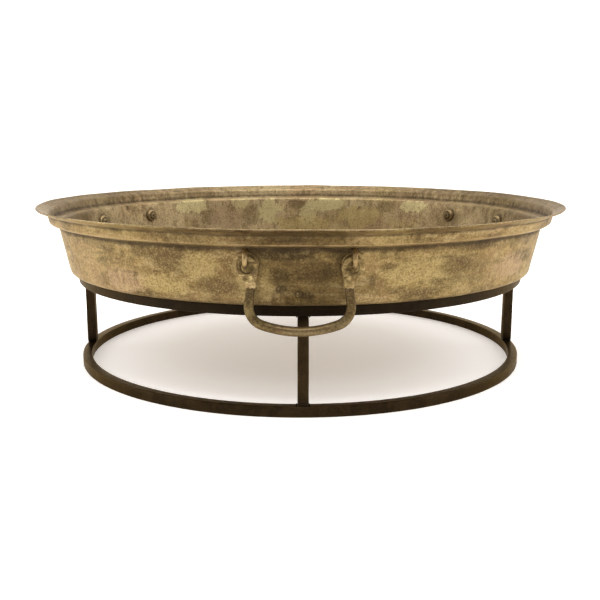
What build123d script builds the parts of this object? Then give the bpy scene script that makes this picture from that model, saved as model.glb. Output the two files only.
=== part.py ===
from build123d import *
import math
import os

# Low fire pit: a hammered sheet bowl with a stepped wall and a flared rim, set loose on a stand of
# square iron bar, with three drop handles in hook lugs and a loose bar grate on the bowl's floor.
# Frame: origin on the ground at the stand's centre, +Z up, the front handle towards -Y. Millimetres.

# ---- driving dimensions ----
rim_radius = 570.0          # outer edge of the flared rim
rim_height = 339.0          # top edge of the rim above the ground
sheet = 3.0                 # bowl sheet thickness
bar = 20.0                  # square bar of the stand
stand_height = 202.0        # the bowl's floor rests here
ring_outer = 487.0          # outer face of both stand rings
stand_turn = 0.65           # degrees that the stand is turned under the bowl

# ---- bowl section, outer face, as (radius, height) ----
floor_dish = 6.0            # the floor hangs this much below the stand's top at its centre
floor_flat_radius = 455.0   # the dished floor ends here, inside the stand's ring
floor_corner = (502.0, stand_height)
wall_top = (522.7, 303.5)
band_foot = (541.3, 309.0)
band_top = (546.0, 328.5)
rim_tip = (rim_radius, rim_height)
outer_bends = [12.0, 4.0, 9.0, 7.0]        # bend radii at the four corners, outer face
bend_turns = [-1, 1, -1, 1]                # -1 where the inner face has the smaller bend

# ---- lugs: round-bar hooks, in their handle's frame (+X out from the bowl, +Y along the rim) ----
handle_azimuths = {"front": 0.0, "rear_right": 120.0, "rear_left": -120.0}
lug_offset = 90.5           # hook's plane from the handle's middle
lug_bar = 4.4               # radius of the lug's round bar
hook_bend = 12.0            # bend radius of the hook, to the middle of its bar
hook_centre = (525.0, 288.5)               # middle of the bend, also the handle's swing axis
hook_return = 2.5           # straight end that turns back over the bend, under the band
lug_hole = 4.45             # radius of the hole in wall, plate and washer
head_radius = 8.5           # peened head inside the bowl
head_height = 5.0
plate_radius = 22.5         # backing plate on the outside
plate_thickness = 3.0
washer_radius = 15.0        # washer on the inside
washer_thickness = 2.5

# ---- handles, hanging in the upright plane through the swing axis ----
eye_offset = 87.5           # eye centre from the handle's middle
eye_drop = 14.6             # eye centre below the swing axis
eye_hole = 9.5
eye_radius = 19.5
eye_thickness = 8.0
sleeve_offset = 81.2        # middle of the sleeve that holds the rod's end
sleeve_bottom = 238.0
sleeve_height = 17.0
sleeve_radius = 9.8
rod_radius = 8.6
rod_neck = 6.5              # spigot on the rod's end, inside the sleeve
rod_spigot = 13.0
arm_bottom = (85.1, 210.8)  # rod centre line where the arm ends, as (offset, height)
arm_lean = 7.0              # degrees that the arms spread downwards
grip_turn = 70.0            # degrees from upright where each corner meets the grip
grip_corner = 33.0          # bend radius of the corners

# ---- small rivet low on the front of the wall ----
rivet_side = -2.4
rivet_height = 224.6
rivet_shank = 2.5
rivet_head = 4.6
rivet_head_height = 2.2
rivet_gap = 0.05            # flat heads stand off the curved wall by this much

# ---- grate ----
grate_radius = 270.0
grate_bar = 12.0
grate_pitch = 44.0
grate_feet_bottom = 201.3
grate_foot_height = 20.0
grate_foot_radius = 7.0
cross_bar_offset = 120.0
cross_bar_width = 25.0
cross_bar_thickness = 6.0

# ---- welds ----
weld_leg = 6.0


def offset_point(before, corner, after, distance):
    """The corner moved to the left of the path before-corner-after, so that both runs move by distance."""
    def left(a, b):
        length = math.hypot(b[0] - a[0], b[1] - a[1])
        return (-(b[1] - a[1]) / length, (b[0] - a[0]) / length)
    first = left(before, corner) if before else left(corner, after)
    second = left(corner, after) if after else first
    share = distance / (1 + first[0] * second[0] + first[1] * second[1])
    return (corner[0] + (first[0] + second[0]) * share, corner[1] + (first[1] + second[1]) * share)


def offset_path(points, distance):
    padded = [None, *points, None]
    return [offset_point(padded[i], padded[i + 1], padded[i + 2], distance) for i in range(len(points))]


def arch(points, lift):
    """Arc through (0, z0) and the last point of a shallow dish, both raised by lift."""
    end = points[0]
    middle = (end[0] / 2, end[1] - floor_dish * 0.75 + lift)
    return ThreePointArc((0, end[1] - floor_dish + lift), middle, (end[0], end[1] + lift))


outer_points = [(floor_flat_radius, stand_height), floor_corner, wall_top, band_foot, band_top, rim_tip]
inner_points = offset_path(outer_points, sheet)
inner_bends = [radius + turn * sheet for radius, turn in zip(outer_bends, bend_turns)]


def wall_radius(height):
    """Outer radius of the straight wall at a height."""
    share = (height - floor_corner[1]) / (wall_top[1] - floor_corner[1])
    return floor_corner[0] + share * (wall_top[0] - floor_corner[0])


wall_lean = math.degrees(math.atan2(wall_top[0] - floor_corner[0], wall_top[1] - floor_corner[1]))
sheet_across = sheet / math.cos(math.radians(wall_lean))   # the sheet's thickness measured level


def place(shape, azimuth):
    """Turns a shape from the local frame, +X outwards, to an azimuth counted from the front."""
    return Rot(0, 0, azimuth - 90) * shape


def rod_between(start, end, radius):
    """A cylinder between two points."""
    way = Vector(*end) - Vector(*start)
    return extrude(Plane(origin=start, z_dir=way) * Circle(radius), way.length)


def wall_slab(inside, outside):
    """A cone-shaped layer that follows the straight wall, from inside to outside of its outer face."""
    low, high = stand_height, wall_top[1]
    corners = [
        (wall_radius(low) + inside, low),
        (wall_radius(low) + outside, low),
        (wall_radius(high) + outside, high),
        (wall_radius(high) + inside, high),
    ]
    return revolve(Plane.XZ * make_face(Polyline(*corners, close=True)), axis=Axis.Z)


def bowl_shell():
    outer = FilletPolyline(*outer_points, radius=outer_bends)
    inner = FilletPolyline(*inner_points, radius=inner_bends)
    edges = [
        Line((0, stand_height - floor_dish), (0, stand_height - floor_dish + sheet)),
        arch(outer_points, sheet),
        *inner.edges(),
        Line(inner_points[-1], outer_points[-1]),
        *outer.edges(),
        arch(outer_points, 0),
    ]
    return revolve(Plane.XZ * make_face(Wire(edges)), axis=Axis.Z)


def across(radius, offset):
    """Distance along X at which a circle of that radius is reached, at a sideways offset."""
    return math.sqrt(radius ** 2 - offset ** 2)


leg_height = hook_centre[1] - hook_bend                    # the lug's leg crosses the wall here
wall_outside = across(wall_radius(leg_height), lug_offset)
wall_inside = across(wall_radius(leg_height) - sheet_across, lug_offset)
washer_face = wall_inside - washer_thickness - 4.0         # flat face, clear of the leaning, curved wall


def lug_axis(start, end, radius, side):
    """A cylinder on the line of a lug's leg, between two distances from the bowl's axis."""
    return rod_between((start, side * lug_offset, leg_height), (end, side * lug_offset, leg_height), radius)


def rivet_axis():
    """Start and direction of the small rivet: on the wall's outer face, square to it."""
    lean = math.radians(wall_lean)
    start = Vector(wall_radius(rivet_height), rivet_side, rivet_height)
    return start, Vector(math.cos(lean), 0, -math.sin(lean))


def rivet():
    start, way = rivet_axis()
    inside = start - way * (sheet + rivet_gap)
    shank = rod_between(inside, start + way * rivet_gap, rivet_shank)
    outer_head = rod_between(start + way * rivet_gap, start + way * rivet_head_height, rivet_head)
    inner_head = rod_between(inside - way * rivet_head_height, inside, rivet_head)
    whole = shank + outer_head + inner_head
    circles = whole.edges().filter_by(GeomType.CIRCLE).sort_by(Axis(start, way))
    return fillet([circles[0], circles[-1]], rivet_head_height * 0.8)


def bowl():
    start, way = rivet_axis()
    shell = bowl_shell() - place(rod_between(start - way * 10, start + way * 10, rivet_shank), 0)
    for azimuth in handle_azimuths.values():
        for side in (-1, 1):
            shell -= place(lug_axis(washer_face, hook_centre[0], lug_hole, side), azimuth)
    return shell


def lug(side):
    """Hook: a leg through the wall, a half-circle bend up and back, a short return with a round tip."""
    x, z = hook_centre
    y = side * lug_offset
    path = Wire([
        Line((washer_face, y, leg_height), (x, y, leg_height)),
        ThreePointArc((x, y, leg_height), (x + hook_bend, y, z), (x, y, z + hook_bend)),
        Line((x, y, z + hook_bend), (x - hook_return, y, z + hook_bend)),
    ])
    hook = sweep(Plane(origin=path @ 0, z_dir=path % 0) * Circle(lug_bar), path=path)
    head = lug_axis(washer_face - head_height, washer_face, head_radius, side)
    rim = head.edges().filter_by(GeomType.CIRCLE).sort_by(Axis.X)[0]
    return hook + Pos(x - hook_return, y, z + hook_bend) * Sphere(lug_bar) + fillet(rim, head_height * 0.85)


def backing_plate(side):
    """Round plate that follows the wall's outer face."""
    disc = wall_slab(0, plate_thickness) & lug_axis(480, rim_radius, plate_radius, side)
    return disc - lug_axis(480, rim_radius, lug_hole, side)


def inner_washer(side):
    """Round washer under the peened end: flat inside, its outer face follows the wall."""
    disc = lug_axis(washer_face, wall_outside + 20, washer_radius, side) & wall_slab(-60, -sheet_across)
    return disc - lug_axis(washer_face - 5, wall_outside + 20, lug_hole, side)


def handle_rod():
    """U-shaped rod: two leaning arms, two corner bends and a shallow curved grip."""
    x = hook_centre[0]
    lean, turn, dip = (math.radians(angle) for angle in (arm_lean, grip_turn, 90 - grip_turn))
    low_y = arm_bottom[0] + grip_corner * (math.cos(turn) - math.cos(lean))
    low_z = arm_bottom[1] - grip_corner * (math.sin(turn) + math.sin(lean))
    bottom_z = low_z - low_y / math.sin(dip) * (1 - math.cos(dip))
    top_y = arm_bottom[0] - (sleeve_bottom - arm_bottom[1]) * math.tan(lean)
    half_turn = (turn - lean) / 2
    mid_y = arm_bottom[0] + grip_corner * (math.cos(half_turn) - math.cos(lean))
    mid_z = arm_bottom[1] - grip_corner * (math.sin(half_turn) + math.sin(lean))
    path = Wire([
        Line((x, -top_y, sleeve_bottom), (x, -arm_bottom[0], arm_bottom[1])),
        ThreePointArc((x, -arm_bottom[0], arm_bottom[1]), (x, -mid_y, mid_z), (x, -low_y, low_z)),
        ThreePointArc((x, -low_y, low_z), (x, 0, bottom_z), (x, low_y, low_z)),
        ThreePointArc((x, low_y, low_z), (x, mid_y, mid_z), (x, arm_bottom[0], arm_bottom[1])),
        Line((x, arm_bottom[0], arm_bottom[1]), (x, top_y, sleeve_bottom)),
    ])
    whole = sweep(Plane(origin=path @ 0, z_dir=path % 0) * Circle(rod_radius), path=path)
    above = Pos(x, 0, sleeve_bottom + 25) * Box(50, 400, 50)
    whole = whole - above
    for side in (-1, 1):
        whole += spigot(side)
    return whole


def spigot(side):
    base = Plane(origin=(hook_centre[0], side * sleeve_offset, sleeve_bottom), z_dir=(0, 0, 1))
    return extrude(base * Circle(rod_neck), rod_spigot)


def handle_eye(side):
    """Forged eye: a flat paddle with the hook's hole, ending in a sleeve round the rod's end."""
    x = hook_centre[0]
    middle = (side * eye_offset, hook_centre[1] - eye_drop)
    flat = Plane(origin=(x - eye_thickness / 2, 0, 0), x_dir=(0, 1, 0), z_dir=(1, 0, 0))
    top = Pos(*middle) * Circle(eye_radius)
    foot = Pos(side * sleeve_offset, sleeve_bottom + sleeve_height / 2 + 1) * Circle(sleeve_radius - 1.5)
    outline = make_hull([*top.edges(), *foot.edges()])
    paddle = extrude(flat * outline, eye_thickness)
    paddle = fillet(paddle.edges().group_by(Axis.X)[0] + paddle.edges().group_by(Axis.X)[-1], 2.0)
    base = Plane(origin=(x, side * sleeve_offset, sleeve_bottom), z_dir=(0, 0, 1))
    sleeve = extrude(base * Circle(sleeve_radius), sleeve_height)
    sleeve = fillet(sleeve.edges().filter_by(GeomType.CIRCLE), 2.5)
    hole = extrude(flat.offset(-20) * Pos(*middle) * Circle(eye_hole), eye_thickness + 40)
    return paddle + sleeve - hole - extrude(base * Circle(rod_neck), rod_spigot)


def stand_ring(bottom):
    plane = Plane(origin=(0, 0, bottom))
    return extrude(plane * Circle(ring_outer) - plane * Circle(ring_outer - bar), bar)


def leg():
    height = stand_height - 2 * bar
    middle = ring_outer - bar / 2 - 0.12    # flush: the flat face's corners stay on the ring
    return Pos(middle, 0, bar + height / 2) * Box(bar, bar, height)


def leg_welds(height, direction):
    """Two fillet beads, one each side of a leg, on the ring's face at a height."""
    def bead(side):
        base = side * bar / 2
        corners = [(base, height), (base + side * weld_leg, height), (base, height + direction * weld_leg)]
        face = Plane.YZ * make_face(Polyline(*corners, close=True))
        return Pos(ring_outer - bar + 2, 0, 0) * extrude(face, bar - 4)
    return [bead(-1), bead(1)]


def grate_ring():
    plane = Plane(origin=(0, 0, grate_feet_bottom + grate_foot_height))
    ring = extrude(plane * Circle(grate_radius) - plane * Circle(grate_radius - grate_bar), grate_bar)
    return fillet(ring.edges().filter_by(GeomType.CIRCLE), 1.2)


def grate_bars():
    inside = grate_radius - grate_bar
    low = grate_feet_bottom + grate_foot_height
    core = extrude(Plane(origin=(0, 0, low)) * Circle(inside), grate_bar)
    count = int((inside - grate_bar) // grate_pitch)
    bars = []
    for step in range(-count, count + 1):
        stick = Pos(step * grate_pitch, 0, low + grate_bar / 2) * Box(grate_bar, 2 * inside, grate_bar)
        bars.append(stick & core)
    return bars


def cross_bars():
    top = grate_feet_bottom + grate_foot_height
    half = math.sqrt((grate_radius - grate_bar / 2) ** 2 - (cross_bar_offset + cross_bar_width / 2) ** 2)
    return [Pos(0, side * cross_bar_offset, top - cross_bar_thickness / 2)
            * Box(2 * half, cross_bar_width, cross_bar_thickness) for side in (-1, 1)]


def grate_feet():
    middle = grate_radius - grate_bar / 2
    height = grate_feet_bottom + grate_foot_height / 2
    foot = Pos(middle, 0, height) * Cylinder(grate_foot_radius, grate_foot_height)
    foot = chamfer(foot.edges().group_by(Axis.Z)[0], 1.5)
    return [Rot(0, 0, 45 + 90 * quarter) * foot for quarter in range(4)]


def group(shapes):
    """Several separate solids in one node."""
    return Compound(children=[part for shape in shapes for part in shape.solids()])


def main():
    parts = {"bowl": bowl(), "wall_rivet": place(rivet(), 0)}
    for name, azimuth in handle_azimuths.items():
        parts[f"lug_{name}_left"] = place(lug(-1), azimuth)
        parts[f"lug_{name}_right"] = place(lug(1), azimuth)
        parts[f"lug_plates_{name}"] = group([place(backing_plate(side), azimuth) for side in (-1, 1)])
        parts[f"lug_washers_{name}"] = group([place(inner_washer(side), azimuth) for side in (-1, 1)])
        parts[f"handle_rod_{name}"] = place(handle_rod(), azimuth)
        parts[f"handle_eye_{name}_left"] = place(handle_eye(-1), azimuth)
        parts[f"handle_eye_{name}_right"] = place(handle_eye(1), azimuth)

    leg_azimuths = {"front": 0, "right": 90, "back": 180, "left": 270}
    parts["stand_bottom_ring"] = stand_ring(0)
    parts["stand_top_ring"] = stand_ring(stand_height - bar)
    for name, azimuth in leg_azimuths.items():
        parts[f"leg_{name}"] = place(leg(), azimuth + stand_turn)
    turns = [azimuth + stand_turn for azimuth in leg_azimuths.values()]
    low = [place(bead, turn) for turn in turns for bead in leg_welds(bar, 1)]
    high = [place(bead, turn) for turn in turns for bead in leg_welds(stand_height - bar, -1)]
    parts["weld_beads_bottom"] = group(low)
    parts["weld_beads_top"] = group(high)

    parts["grate_ring"] = grate_ring()
    parts["grate_bars"] = group(grate_bars())
    parts["grate_cross_bars"] = group(cross_bars())
    parts["grate_feet"] = group(grate_feet())

    os.makedirs("parts", exist_ok=True)
    for name, shape in parts.items():
        export_step(shape, f"parts/{name}.step")
    print(len(parts), "nodes written")


if __name__ == "__main__":
    main()
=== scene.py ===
import math
import bpy
import numpy as np
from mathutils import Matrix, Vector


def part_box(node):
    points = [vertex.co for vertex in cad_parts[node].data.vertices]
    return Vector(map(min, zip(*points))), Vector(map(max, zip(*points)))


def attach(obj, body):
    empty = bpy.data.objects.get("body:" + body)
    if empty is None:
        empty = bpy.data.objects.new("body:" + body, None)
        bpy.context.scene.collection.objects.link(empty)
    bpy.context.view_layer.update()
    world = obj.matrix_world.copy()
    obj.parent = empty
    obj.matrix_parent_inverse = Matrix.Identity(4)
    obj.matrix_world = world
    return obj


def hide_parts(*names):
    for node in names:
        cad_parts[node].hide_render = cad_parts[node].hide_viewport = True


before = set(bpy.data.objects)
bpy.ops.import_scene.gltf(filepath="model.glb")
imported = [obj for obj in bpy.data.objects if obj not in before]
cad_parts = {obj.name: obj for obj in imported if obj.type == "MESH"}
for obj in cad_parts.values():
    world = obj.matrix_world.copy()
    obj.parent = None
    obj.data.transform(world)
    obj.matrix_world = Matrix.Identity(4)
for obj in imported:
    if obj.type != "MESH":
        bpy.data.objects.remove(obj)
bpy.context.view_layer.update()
mm = 0.001


# weight going smoothly from 0 at low to 1 at high: t*t*(3 - 2t)
def ease(value, low, high):
    t = np.clip((value - low) / (high - low), 0, 1)
    return t * t * (3 - 2 * t)


# uneven field about 1 strong: sum of sin(way . point + start) over random ways about 1/perMetre long,
# divided by sqrt(waves / 2)
def unevenness(points, perMetre, seed, waves=26):
    dice = np.random.default_rng(seed)
    ways = dice.normal(size=(3, waves))
    ways *= perMetre * 2 * math.pi * dice.uniform(0.5, 1.5, waves) / np.linalg.norm(ways, axis=0)
    total = np.sin(points @ ways + dice.uniform(0, 2 * math.pi, waves)).sum(-1)
    return total / math.sqrt(waves / 2)


# angle between two directions about the upright axis: their difference wrapped into 0..pi
def apart(angle, other):
    return np.abs(np.angle(np.exp(1j * (angle - other))))


# corner points joined by straight runs and round bends: each bend starts r*tan(turn/2) before its corner
def bentPath(corners, bends, step, bendSteps=7):
    corners = np.array(corners, float)
    run = [corners[0]]
    for i, bend in enumerate(bends):
        here = corners[i + 1]
        before = (here - corners[i]) / np.linalg.norm(here - corners[i])
        after = (corners[i + 2] - here) / np.linalg.norm(corners[i + 2] - here)
        turn = math.atan2(before[0] * after[1] - before[1] * after[0], before @ after)
        reach = bend * math.tan(abs(turn) / 2)
        side = np.array([-before[1], before[0]]) * math.copysign(1, turn)
        middle = here - before * reach + side * bend
        angles = np.linspace(0, turn, bendSteps)
        spoke = -side
        run += [middle + bend * np.array([spoke[0] * math.cos(a) - spoke[1] * math.sin(a),
                                          spoke[0] * math.sin(a) + spoke[1] * math.cos(a)]) for a in angles]
    run.append(corners[-1])
    full = [run[0]]
    for a, b in zip(run[:-1], run[1:]):      # long straight runs get points in between
        count = max(1, int(math.ceil(np.linalg.norm(b - a) / step)))
        full += [a + (b - a) * (k + 1) / count for k in range(count)]
    return np.array(full)


# unit normals of a flat path: the tangent turned a quarter to the left
def leftNormals(path):
    tangent = np.gradient(path, axis=0)
    tangent /= np.linalg.norm(tangent, axis=1, keepdims=True)
    return np.stack([-tangent[:, 1], tangent[:, 0]], 1)


# quads between neighbouring points of a grid whose columns close on themselves; where the rows don't, each
# end closes with triangles on the mean of its ring
def gridPart(points, closedRows=False, marks=None):
    rows, cols = points.shape[:2]
    i = np.arange(rows if closedRows else rows - 1)[:, None]
    j = np.arange(cols)[None, :]
    right, down = (j + 1) % cols, (i + 1) % rows
    corners = [i * cols + j, i * cols + right, down * cols + right, down * cols + j]
    quads = np.stack(corners, -1).reshape(-1, 4)
    coords = points.reshape(-1, 3)
    tris = np.zeros((0, 3), int)
    values = {key: np.broadcast_to(value, (rows, cols)).reshape(-1) for key, value in (marks or {}).items()}
    if not closedRows:
        first, last = len(coords), len(coords) + 1
        ring = np.arange(cols)
        nextOne = (ring + 1) % cols
        start = np.stack([np.full(cols, first), nextOne, ring], 1)
        end = np.stack([np.full(cols, last), (rows - 1) * cols + ring, (rows - 1) * cols + nextOne], 1)
        tris = np.concatenate([start, end])
        coords = np.concatenate([coords, points[0].mean(0)[None], points[-1].mean(0)[None]])
        values = {key: np.concatenate([value, [value[0], value[-1]]]) for key, value in values.items()}
    a = coords[quads[:, 0]]
    volume = (a * np.cross(coords[quads[:, 1]], coords[quads[:, 2]])).sum()
    volume += (a * np.cross(coords[quads[:, 2]], coords[quads[:, 3]])).sum()
    if len(tris):
        volume += (coords[tris[:, 0]] * np.cross(coords[tris[:, 1]], coords[tris[:, 2]])).sum()
    if volume < 0:                            # faces look outwards when the enclosed volume is positive
        quads, tris = quads[:, ::-1], tris[:, ::-1]
    return {"coords": coords, "quads": quads, "tris": tris, "marks": values}


# one mesh object from several closed parts, riding on a body and standing for CAD nodes: each part's vertex
# numbers start after those of the parts before it
def makePiece(name, parts, paints, body, nodes):
    coords, loops, sizes, coats = [], [], [], []
    base = 0
    for part in parts:
        for faces in (part["quads"], part["tris"]):
            loops.append((faces + base).reshape(-1))
            sizes.append(np.full(len(faces), faces.shape[1]))
            coats.append(np.full(len(faces), part.get("coat", 0)))
        coords.append(part["coords"])
        base += len(part["coords"])
    coords, loops, sizes = np.concatenate(coords), np.concatenate(loops), np.concatenate(sizes)
    mesh = bpy.data.meshes.new(name)
    mesh.vertices.add(len(coords))
    mesh.vertices.foreach_set("co", coords.astype(np.float32).reshape(-1))
    mesh.loops.add(len(loops))
    mesh.loops.foreach_set("vertex_index", loops.astype(np.int32))
    mesh.polygons.add(len(sizes))
    starts = np.concatenate([[0], np.cumsum(sizes)[:-1]])
    mesh.polygons.foreach_set("loop_start", starts.astype(np.int32))
    mesh.polygons.foreach_set("loop_total", sizes.astype(np.int32))
    mesh.polygons.foreach_set("use_smooth", np.ones(len(sizes), bool))
    mesh.polygons.foreach_set("material_index", np.concatenate(coats).astype(np.int32))
    mesh.update(calc_edges=True)
    for key in ("edge", "grime_and_painted_shade", "shade", "inner"):
        layer = mesh.attributes.new(key, "FLOAT", "POINT")
        values = [part["marks"].get(key, np.zeros(len(part["coords"]))) for part in parts]
        layer.data.foreach_set("value", np.concatenate(values).astype(np.float32))
    for paint in paints:
        mesh.materials.append(paint)
    piece = bpy.data.objects.new(name, mesh)
    bpy.context.scene.collection.objects.link(piece)
    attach(piece, body)
    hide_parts(*nodes)


# points (out from the bowl, along the rim, up) turned about the upright axis to an azimuth from the front:
# x*cos(a) - y*sin(a), x*sin(a) + y*cos(a), with a 90 degrees less than the azimuth
def atAzimuth(points, degrees):
    a = math.radians(degrees - 90)
    turn = np.array([[math.cos(a), math.sin(a), 0], [-math.sin(a), math.cos(a), 0], [0, 0, 1]])
    return points @ turn


# a node output that can be added, taken away and multiplied: each sign is one Math node on two values
class Wire:
    def __init__(self, tree, socket):
        self.tree, self.socket = tree, socket

    def sign(self, kind, left, right):
        node = self.tree.nodes.new("ShaderNodeMath")
        node.operation = kind
        for slot, value in zip(node.inputs, (left, right)):
            if isinstance(value, Wire):
                self.tree.links.new(value.socket, slot)
            else:
                slot.default_value = value
        return Wire(self.tree, node.outputs[0])

    def __add__(self, other):
        return self.sign("ADD", self, other)

    def __radd__(self, other):
        return self.sign("ADD", other, self)

    def __sub__(self, other):
        return self.sign("SUBTRACT", self, other)

    def __rsub__(self, other):
        return self.sign("SUBTRACT", other, self)

    def __mul__(self, other):
        return self.sign("MULTIPLY", self, other)

    def __rmul__(self, other):
        return self.sign("MULTIPLY", other, self)


# a material, with short ways to add its nodes
class Paint:
    def __init__(self, name):
        self.material = bpy.data.materials.new(name)
        self.material.use_nodes = True
        self.tree = self.material.node_tree
        self.tree.nodes.clear()
        self.place = self.add("TexCoord", out="Object")

    # one node with its settings; a wire among the values is linked, a number is set on the socket
    def add(self, kind, settings=None, values=None, out=0):
        node = self.tree.nodes.new("ShaderNode" + kind)
        for key, value in (settings or {}).items():
            setattr(node, key, value)
        for key, value in (values or {}).items():
            if isinstance(value, Wire):
                self.tree.links.new(value.socket, node.inputs[key])
            else:
                node.inputs[key].default_value = value
        return Wire(self.tree, node.outputs[out])

    # object coordinates times a factor per axis
    def stretched(self, x, y, z):
        return self.add("Mapping", {"vector_type": "POINT"}, {"Vector": self.place, "Scale": (x, y, z)})

    # object coordinates plus metres per axis
    def moved(self, x, y, z):
        return self.add("Mapping", {"vector_type": "POINT"}, {"Vector": self.place, "Location": (x, y, z)})

    # cloudy value round 0.5: octaves of noise, each twice as fine and rough times as strong
    def noise(self, scale, detail=4, rough=0.55, distort=0.0, place=None):
        values = {"Vector": place or self.place, "Scale": scale, "Detail": detail,
                  "Roughness": rough, "Distortion": distort}
        return self.add("TexNoise", None, values)

    # distance to the nearest of scattered points, about scale of them along a metre
    def cells(self, scale, feature="F1", place=None):
        values = {"Vector": place or self.place, "Scale": scale}
        return self.add("TexVoronoi", {"feature": feature}, values, "Distance")

    # 0 below low, 1 above high, t*t*(3 - 2t) between; falling when low is the larger
    def step(self, value, low, high):
        values = {"Value": value, "From Min": low, "From Max": high}
        return self.add("MapRange", {"interpolation_type": "SMOOTHSTEP"}, values)

    # a*(1 - share) + b*share; with MULTIPLY, a*(1 - share) + a*b*share
    def mix(self, share, a, b, blend="MIX"):
        first, second = (c if isinstance(c, Wire) else (*c, 1) for c in (a, b))
        values = {0: share, 6: first, 7: second}
        return self.add("Mix", {"data_type": "RGBA", "blend_type": blend}, values, out=2)

    # one of the values that the mesh carries per vertex
    def mark(self, name):
        return self.add("Attribute", {"attribute_name": name}, out="Fac")

    # 1 inside an ellipsoid round a middle in mm, 0 outside: length of (place - middle) / reach, plus
    # (ragged - 0.5) * spread, stepped down round 0.9
    def spot(self, middle, reach, ragged, spread, soft):
        values = {"Vector": self.place, "Scale": tuple(1 / (r * mm) for r in reach),
                  "Location": tuple(-m / r for m, r in zip(middle, reach))}
        inEllipsoid = self.add("Mapping", {"vector_type": "POINT"}, values)
        away = self.add("VectorMath", {"operation": "LENGTH"}, {0: inEllipsoid}, "Value")
        return 1 - self.step(away + (ragged - 0.5) * spread, 0.9 - soft, 0.9 + soft)

    # normal tilted by the slope of a height from 0 to 1 that stands for a distance in metres
    def bump(self, height, distance, strength, normal=None):
        values = {"Height": height, "Distance": distance, "Strength": strength}
        if normal:
            values["Normal"] = normal
        return self.add("Bump", None, values, "Normal")

    # the shader with its values, joined to the material's output
    def surface(self, values):
        shader = self.add("BsdfPrincipled", None, values)
        end = self.tree.nodes.new("ShaderNodeOutputMaterial")
        self.tree.links.new(shader.socket, end.inputs["Surface"])
        return self.material
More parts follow.
